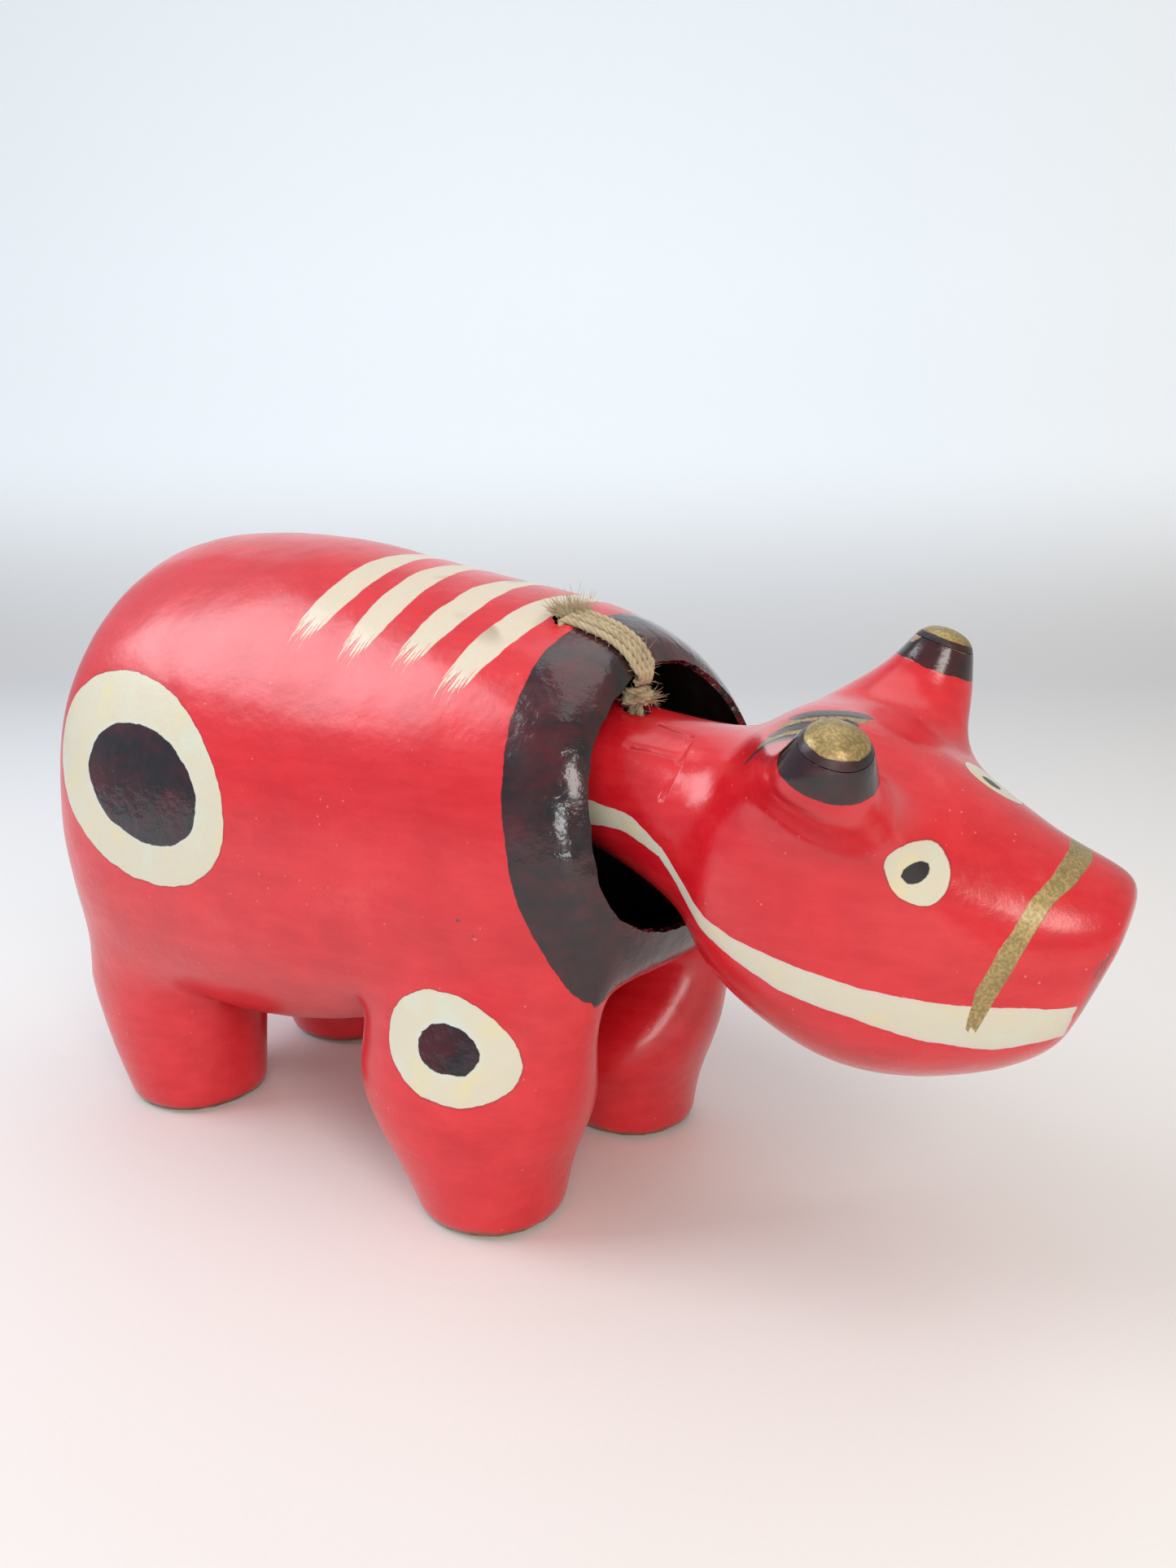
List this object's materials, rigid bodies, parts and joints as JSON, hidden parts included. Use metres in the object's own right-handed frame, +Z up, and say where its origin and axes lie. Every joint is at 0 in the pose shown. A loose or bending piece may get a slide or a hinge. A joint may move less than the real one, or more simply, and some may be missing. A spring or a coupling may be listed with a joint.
{
  "type": "nodding cow figure",
  "caption": "Hollow standing cow figure whose separate hollow head and neck hang by twine inside the body's front opening, so the head nods and sways.",
  "frame": {"origin": "on the floor plane under the soles, at the middle of the figure's bounding box seen from above", "axes": "+X towards the muzzle, +Y towards the animal's left, +Z up"},
  "size_m": [0.3128, 0.1296, 0.1725],
  "materials": {
    "red_lacquered_paper": "gloss",
    "gold_paint": "satin",
    "sole_card": "matte",
    "seam_paper": "matte",
    "hemp_twine": "matte",
    "clay": "matte",
    "bamboo": "satin"
  },
  "bodies": {
    "body": {"body_shell_left": "red_lacquered_paper", "body_shell_right": "red_lacquered_paper", "sole_hind_left": "sole_card", "sole_hind_right": "sole_card", "sole_front_left": "sole_card", "sole_front_right": "sole_card", "body_seam_strip": "seam_paper", "string_wrap": "hemp_twine", "string_knot": "hemp_twine"},
    "string": {"string_drop": "hemp_twine"},
    "toggle": {"toggle_stick": "bamboo"},
    "head": {"head_shell_left": "red_lacquered_paper", "head_shell_right": "red_lacquered_paper", "horn_cap_left": "gold_paint", "horn_cap_right": "gold_paint", "head_seam_strip": "seam_paper", "neck_end_disc": "sole_card", "neck_weight": "clay"}
  },
  "joints": [
    {"name": "string_sway", "type": "hinge", "parent": "body", "child": "string", "pos_m": [0.04346, -0.00914, 0.1328], "axis": [1, 0, 0], "range_deg": [-8, 8]},
    {"name": "head_turn", "type": "hinge", "parent": "string", "child": "toggle", "pos_m": [0.04346, -0.00914, 0.12419], "axis": [0, 0, 1], "range_deg": [-12, 3]},
    {"name": "head_nod", "type": "hinge", "parent": "toggle", "child": "head", "pos_m": [0.04346, -0.00914, 0.12419], "axis": [-0.1133, 0.981, 0.1572], "range_deg": [-14, 1.5]}
  ]
}
